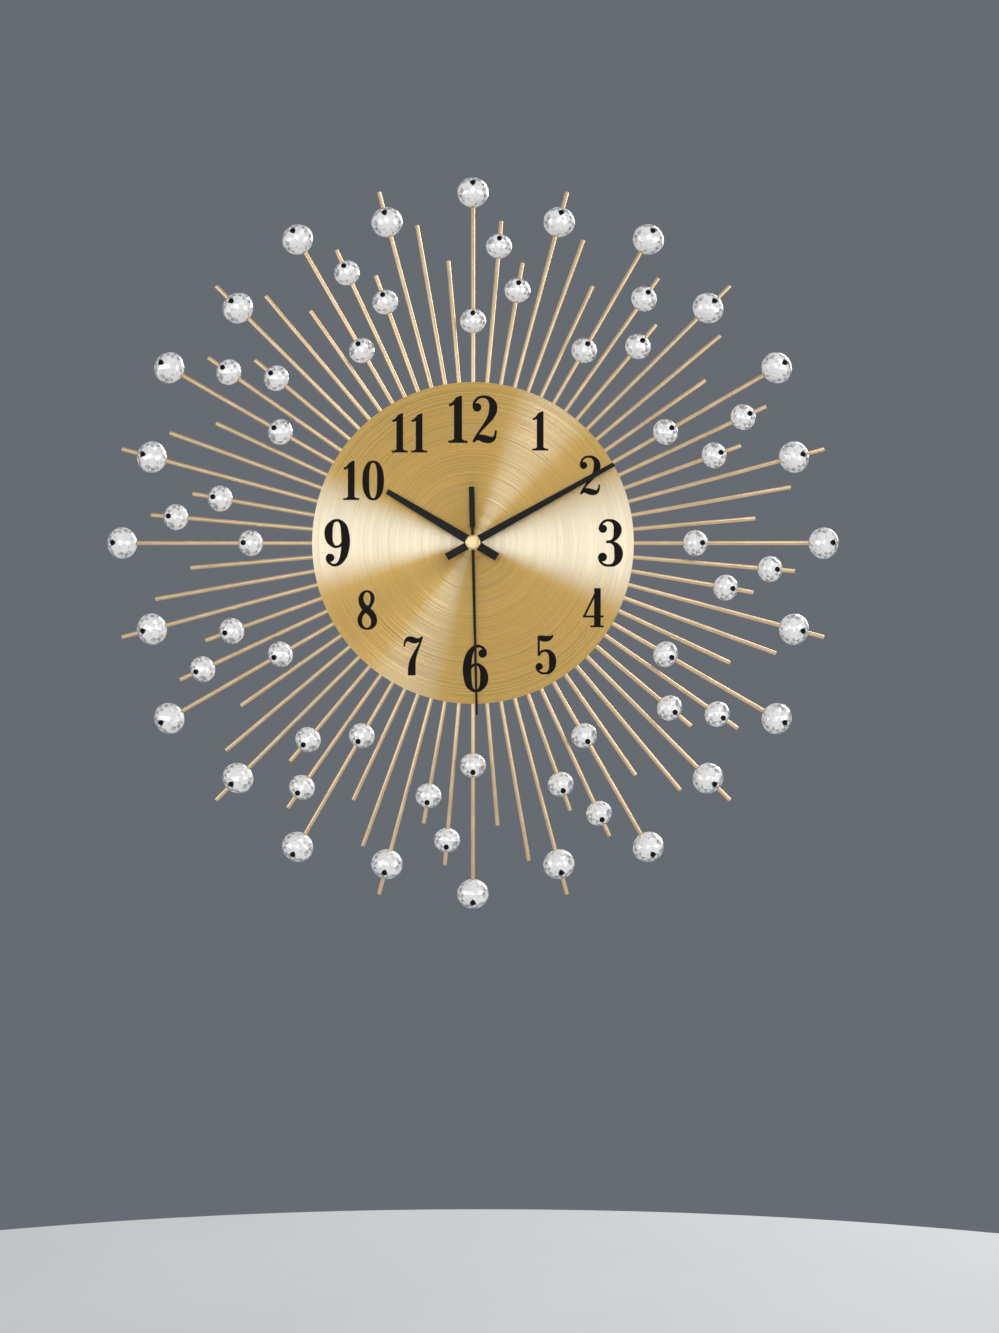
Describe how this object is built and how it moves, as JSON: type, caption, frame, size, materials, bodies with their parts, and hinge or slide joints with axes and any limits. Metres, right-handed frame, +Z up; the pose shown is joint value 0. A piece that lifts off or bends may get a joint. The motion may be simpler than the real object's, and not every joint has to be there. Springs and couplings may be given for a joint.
{
  "type": "sunburst wall clock",
  "caption": "Sunburst wall clock: spun dial with black hands, ringed by thin radiating rods threaded with faceted beads, run by a battery quartz movement.",
  "frame": {"origin": "where the hands' common axis meets the wall plane, on the back face of the movement cover", "axes": "+Z up the dial through twelve, +X to the right seen from the front, +Y from the dial into the wall"},
  "size_m": [0.598, 0.034, 0.598],
  "materials": {
    "ray_gold": "satin gold",
    "crystal_silver": "faceted and silvered, high gloss",
    "dial_gold": "spun gold",
    "hand_black": "satin black paint",
    "cap_gold": "satin",
    "plate_black": "satin black",
    "zinc_steel": "zinc plated",
    "rubber_black": "matte",
    "case_black": "fine texture",
    "brass": "turned",
    "battery_wrap": "printed sleeve, no marks",
    "spring_nickel": "nickel plated",
    "board_green": "solder mask",
    "chip_black": "matte",
    "crystal_can": "satin",
    "bobbin_white": "natural",
    "copper_wire": "enamelled copper",
    "stator_iron": "satin",
    "gear_white": "natural acetal",
    "gear_red": "dyed acetal",
    "magnet": "sintered"
  },
  "bodies": {
    "clock_body": {"ray_sector_01": "ray_gold", "ray_sector_02": "ray_gold", "ray_sector_03": "ray_gold", "ray_sector_04": "ray_gold", "ray_sector_05": "ray_gold", "ray_sector_06": "ray_gold", "ray_sector_07": "ray_gold", "ray_sector_08": "ray_gold", "ray_sector_09": "ray_gold", "ray_sector_10": "ray_gold", "ray_sector_11": "ray_gold", "ray_sector_12": "ray_gold", "tip_bead_01": "crystal_silver", "tip_bead_02": "crystal_silver", "tip_bead_03": "crystal_silver", "tip_bead_04": "crystal_silver", "tip_bead_05": "crystal_silver", "tip_bead_06": "crystal_silver", "tip_bead_07": "crystal_silver", "tip_bead_08": "crystal_silver", "tip_bead_09": "crystal_silver", "tip_bead_10": "crystal_silver", "tip_bead_11": "crystal_silver", "tip_bead_12": "crystal_silver", "dial_plate": "dial_gold", "backing_plate": "plate_black", "hanger_bracket": "zinc_steel", "hanger_screw_left": "zinc_steel", "hanger_screw_right": "zinc_steel", "wall_bumper_left": "rubber_black", "wall_bumper_right": "rubber_black", "movement_case": "case_black", "movement_cover": "case_black", "threaded_bush": "brass", "rubber_gasket": "rubber_black", "washer": "brass", "fixing_nut": "brass", "contact_positive": "spring_nickel", "contact_negative": "spring_nickel", "circuit_board": "board_green", "chip": "chip_black", "quartz_crystal": "crystal_can", "stator": "stator_iron", "coil_bobbin": "bobbin_white", "coil_winding": "copper_wire", "train_plate": "gear_white"},
    "second": {"second_hand": "hand_black", "hub_cap": "cap_gold", "seconds_wheel": "gear_white"},
    "minute": {"minute_hand": "hand_black", "minute_pipe": "brass", "centre_wheel": "gear_white"},
    "hour": {"hour_hand": "hand_black", "hour_wheel": "gear_white"},
    "third": {"third_wheel": "gear_red"},
    "intermediate": {"intermediate_wheel": "gear_red"},
    "rotor": {"rotor": "magnet"},
    "motion": {"motion_work_wheel": "gear_red"},
    "knob": {"setting_knob": "gear_white"},
    "battery": {"battery": "battery_wrap"}
  },
  "joints": [
    {"name": "second_spin", "type": "hinge", "parent": "clock_body", "child": "second", "pos_m": [0, 0, 0], "axis": [0, 1, 0], "continuous": true},
    {"name": "minute_spin", "type": "hinge", "parent": "clock_body", "child": "minute", "pos_m": [0, 0, 0], "axis": [0, 1, 0], "continuous": true},
    {"name": "hour_spin", "type": "hinge", "parent": "clock_body", "child": "hour", "pos_m": [0, 0, 0], "axis": [0, 1, 0], "continuous": true},
    {"name": "third_spin", "type": "hinge", "parent": "clock_body", "child": "third", "pos_m": [-0.00827, 0, 0.00694], "axis": [0, 1, 0], "continuous": true},
    {"name": "intermediate_spin", "type": "hinge", "parent": "clock_body", "child": "intermediate", "pos_m": [0.00619, 0, 0.00885], "axis": [0, 1, 0], "continuous": true},
    {"name": "rotor_spin", "type": "hinge", "parent": "clock_body", "child": "rotor", "pos_m": [0.01447, 0, 0.01031], "axis": [0, 1, 0], "continuous": true},
    {"name": "motion_spin", "type": "hinge", "parent": "clock_body", "child": "motion", "pos_m": [-0.00827, 0, -0.00301], "axis": [0, 1, 0], "continuous": true},
    {"name": "knob_spin", "type": "hinge", "parent": "clock_body", "child": "knob", "pos_m": [-0.01694, 0, -0.00454], "axis": [0, 1, 0], "continuous": true},
    {"name": "battery_slide", "type": "slide", "parent": "clock_body", "child": "battery", "axis": [0, 1, 0], "range_m": [0, 0.02]}
  ],
  "couplings": [
    {"joint": "minute_spin", "follows": "second_spin", "ratio": 0.016667},
    {"joint": "hour_spin", "follows": "second_spin", "ratio": 0.0013889},
    {"joint": "third_spin", "follows": "second_spin", "ratio": -0.125},
    {"joint": "intermediate_spin", "follows": "second_spin", "ratio": -5},
    {"joint": "rotor_spin", "follows": "second_spin", "ratio": 30},
    {"joint": "motion_spin", "follows": "second_spin", "ratio": -0.0055556},
    {"joint": "knob_spin", "follows": "second_spin", "ratio": 0.016667}
  ]
}
